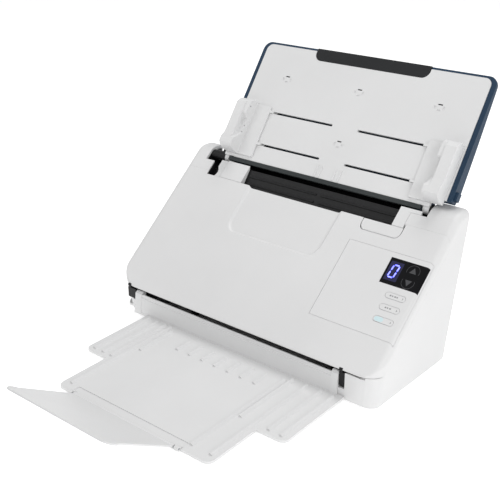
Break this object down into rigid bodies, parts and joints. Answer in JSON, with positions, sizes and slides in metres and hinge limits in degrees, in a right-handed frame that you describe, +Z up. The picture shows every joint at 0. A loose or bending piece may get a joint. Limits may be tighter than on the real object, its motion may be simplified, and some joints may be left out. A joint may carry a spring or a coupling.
{
  "type": "sheet fed document scanner",
  "caption": "Desktop sheet fed scanner with a sloping hinged front cover, a raised input tray with sliding guides, and a folding output tray with a tilting paper stop.",
  "frame": {"origin": "centre of the bounding box's footprint, on the desk plane", "axes": "+X to the scanner's right as seen from its front, +Y towards its back, +Z up"},
  "size_m": [0.321, 0.4242, 0.2527],
  "materials": {
    "body_plastic": "satin light grey",
    "inner_black": "matte black",
    "tray_white": "satin near white",
    "navy_plastic": "satin slate blue",
    "charcoal_plastic": "fine grain",
    "display_gloss": "glossy smoked window",
    "rubber": "matte",
    "steel": "brushed",
    "board": "solder mask",
    "chip": "moulded",
    "sensor_glass": "clear",
    "white_acetal": "slick",
    "inlet_metal": "plated"
  },
  "bodies": {
    "base": {"base_housing": "body_plastic", "bottom_plate": "body_plastic", "rear_cover": "body_plastic", "rubber_feet": "rubber", "base_screws": "steel", "paper_chassis": "inner_black", "throat_block_left": "tray_white", "throat_block_right": "tray_white", "side_frame_left": "steel", "side_frame_right": "steel", "drive_motor": "steel", "main_board": "board", "board_chips": "chip", "usb_port": "inlet_metal", "power_jack": "chip", "rear_image_sensor": "chip", "rear_sensor_glass": "sensor_glass", "drive_belt": "rubber", "motor_belt": "rubber", "throat_liners": "inner_black"},
    "transport_roller": {"transport_shaft": "steel", "transport_tyres": "rubber"},
    "feed_roller": {"feed_shaft": "steel", "feed_tyres": "rubber"},
    "exit_roller": {"exit_shaft": "steel", "exit_tyres": "rubber"},
    "motor_rotor": {"motor_pulley": "steel"},
    "adf_cover": {"adf_cover_shell": "body_plastic", "cover_liner": "inner_black", "front_image_sensor": "chip", "front_sensor_glass": "sensor_glass", "control_panel": "body_plastic", "display_window": "display_gloss", "panel_board": "board", "cover_hinge_pins": "steel"},
    "separation": {"separation_roller": "rubber"},
    "middle_idler": {"middle_idlers": "white_acetal"},
    "exit_idler": {"exit_idlers": "white_acetal"},
    "up": {"up_key": "charcoal_plastic"},
    "down": {"down_key": "charcoal_plastic"},
    "mode_one": {"mode_key_one": "body_plastic"},
    "mode_two": {"mode_key_two": "body_plastic"},
    "start": {"start_key": "body_plastic"},
    "release": {"release_button": "body_plastic"},
    "input_tray": {"tray_panel": "tray_white", "tray_back_shell": "navy_plastic", "tray_handle": "charcoal_plastic", "tray_seal_strip": "charcoal_plastic", "tray_hinge_pins": "steel", "tray_hinge_sleeves": "inner_black"},
    "left_guide": {"guide_left": "tray_white"},
    "right_guide": {"guide_right": "tray_white"},
    "pinion": {"guide_pinion": "white_acetal"},
    "output_tray": {"output_tray_plate": "tray_white", "output_tray_pins": "steel", "flap_hinge_rod": "steel"},
    "paper_stop": {"stop_flap": "tray_white"}
  },
  "joints": [
    {"name": "cover_hinge", "type": "hinge", "parent": "base", "child": "adf_cover", "pos_m": [0.0105, 0.00365, 0.0316], "axis": [1, 0, 0], "range_deg": [0, 65]},
    {"name": "input_tray_hinge", "type": "hinge", "parent": "base", "child": "input_tray", "pos_m": [0.0105, 0.13585, 0.1395], "axis": [1, 0, 0], "range_deg": [0, 60]},
    {"name": "output_tray_hinge", "type": "hinge", "parent": "base", "child": "output_tray", "pos_m": [0.0105, 0.00505, 0.0255], "axis": [-1, 0, 0], "range_deg": [0, 75]},
    {"name": "paper_stop_hinge", "type": "hinge", "parent": "output_tray", "child": "paper_stop", "pos_m": [0.0105, -0.14245, 0.0032], "axis": [-1, 0, 0], "range_deg": [-30, 143]},
    {"name": "left_guide_slide", "type": "slide", "parent": "input_tray", "child": "left_guide", "axis": [1, 0, 0], "range_m": [0, 0.07]},
    {"name": "right_guide_slide", "type": "slide", "parent": "input_tray", "child": "right_guide", "axis": [-1, 0, 0], "range_m": [0, 0.07]},
    {"name": "pinion_spin", "type": "hinge", "parent": "input_tray", "child": "pinion", "pos_m": [0.0105, 0.15753, 0.17121], "axis": [0, -0.8141, 0.5807], "range_deg": [-670, 5]},
    {"name": "transport_spin", "type": "hinge", "parent": "base", "child": "transport_roller", "pos_m": [0.0105, 0.08155, 0.0714], "axis": [1, 0, 0], "continuous": true},
    {"name": "feed_spin", "type": "hinge", "parent": "base", "child": "feed_roller", "pos_m": [0.0105, 0.09985, 0.0849], "axis": [1, 0, 0], "continuous": true},
    {"name": "exit_spin", "type": "hinge", "parent": "base", "child": "exit_roller", "pos_m": [0.0105, 0.03155, 0.0329], "axis": [1, 0, 0], "continuous": true},
    {"name": "motor_spin", "type": "hinge", "parent": "base", "child": "motor_rotor", "pos_m": [0.0105, 0.07185, 0.04], "axis": [1, 0, 0], "continuous": true},
    {"name": "separation_spin", "type": "hinge", "parent": "adf_cover", "child": "separation", "pos_m": [0.0105, 0.08755, 0.094], "axis": [1, 0, 0], "continuous": true},
    {"name": "middle_idler_spin", "type": "hinge", "parent": "adf_cover", "child": "middle_idler", "pos_m": [0.0105, 0.07425, 0.07995], "axis": [1, 0, 0], "continuous": true},
    {"name": "exit_idler_spin", "type": "hinge", "parent": "adf_cover", "child": "exit_idler", "pos_m": [0.0105, 0.02645, 0.0424], "axis": [1, 0, 0], "continuous": true},
    {"name": "up_press", "type": "slide", "parent": "adf_cover", "child": "up", "axis": [0, 0.6542, -0.7563], "range_m": [0, 0.001], "stiffness_N_per_m": 300, "springref_m": -0.001},
    {"name": "down_press", "type": "slide", "parent": "adf_cover", "child": "down", "axis": [0, 0.6542, -0.7563], "range_m": [0, 0.001], "stiffness_N_per_m": 300, "springref_m": -0.001},
    {"name": "mode_one_press", "type": "slide", "parent": "adf_cover", "child": "mode_one", "axis": [0, 0.6542, -0.7563], "range_m": [0, 0.001], "stiffness_N_per_m": 300, "springref_m": -0.001},
    {"name": "mode_two_press", "type": "slide", "parent": "adf_cover", "child": "mode_two", "axis": [0, 0.6542, -0.7563], "range_m": [0, 0.001], "stiffness_N_per_m": 300, "springref_m": -0.001},
    {"name": "start_press", "type": "slide", "parent": "adf_cover", "child": "start", "axis": [0, 0.6542, -0.7563], "range_m": [0, 0.001], "stiffness_N_per_m": 300, "springref_m": -0.001},
    {"name": "release_press", "type": "slide", "parent": "adf_cover", "child": "release", "axis": [0, 0.6542, -0.7563], "range_m": [0, 0.001], "stiffness_N_per_m": 300, "springref_m": -0.001}
  ],
  "couplings": [
    {"joint": "right_guide_slide", "follows": "left_guide_slide", "ratio": 1},
    {"joint": "pinion_spin", "follows": "left_guide_slide", "rad_per_m": -166.67},
    {"joint": "transport_spin", "follows": "feed_spin", "ratio": 1},
    {"joint": "exit_spin", "follows": "feed_spin", "ratio": 1},
    {"joint": "motor_spin", "follows": "feed_spin", "ratio": 1}
  ]
}
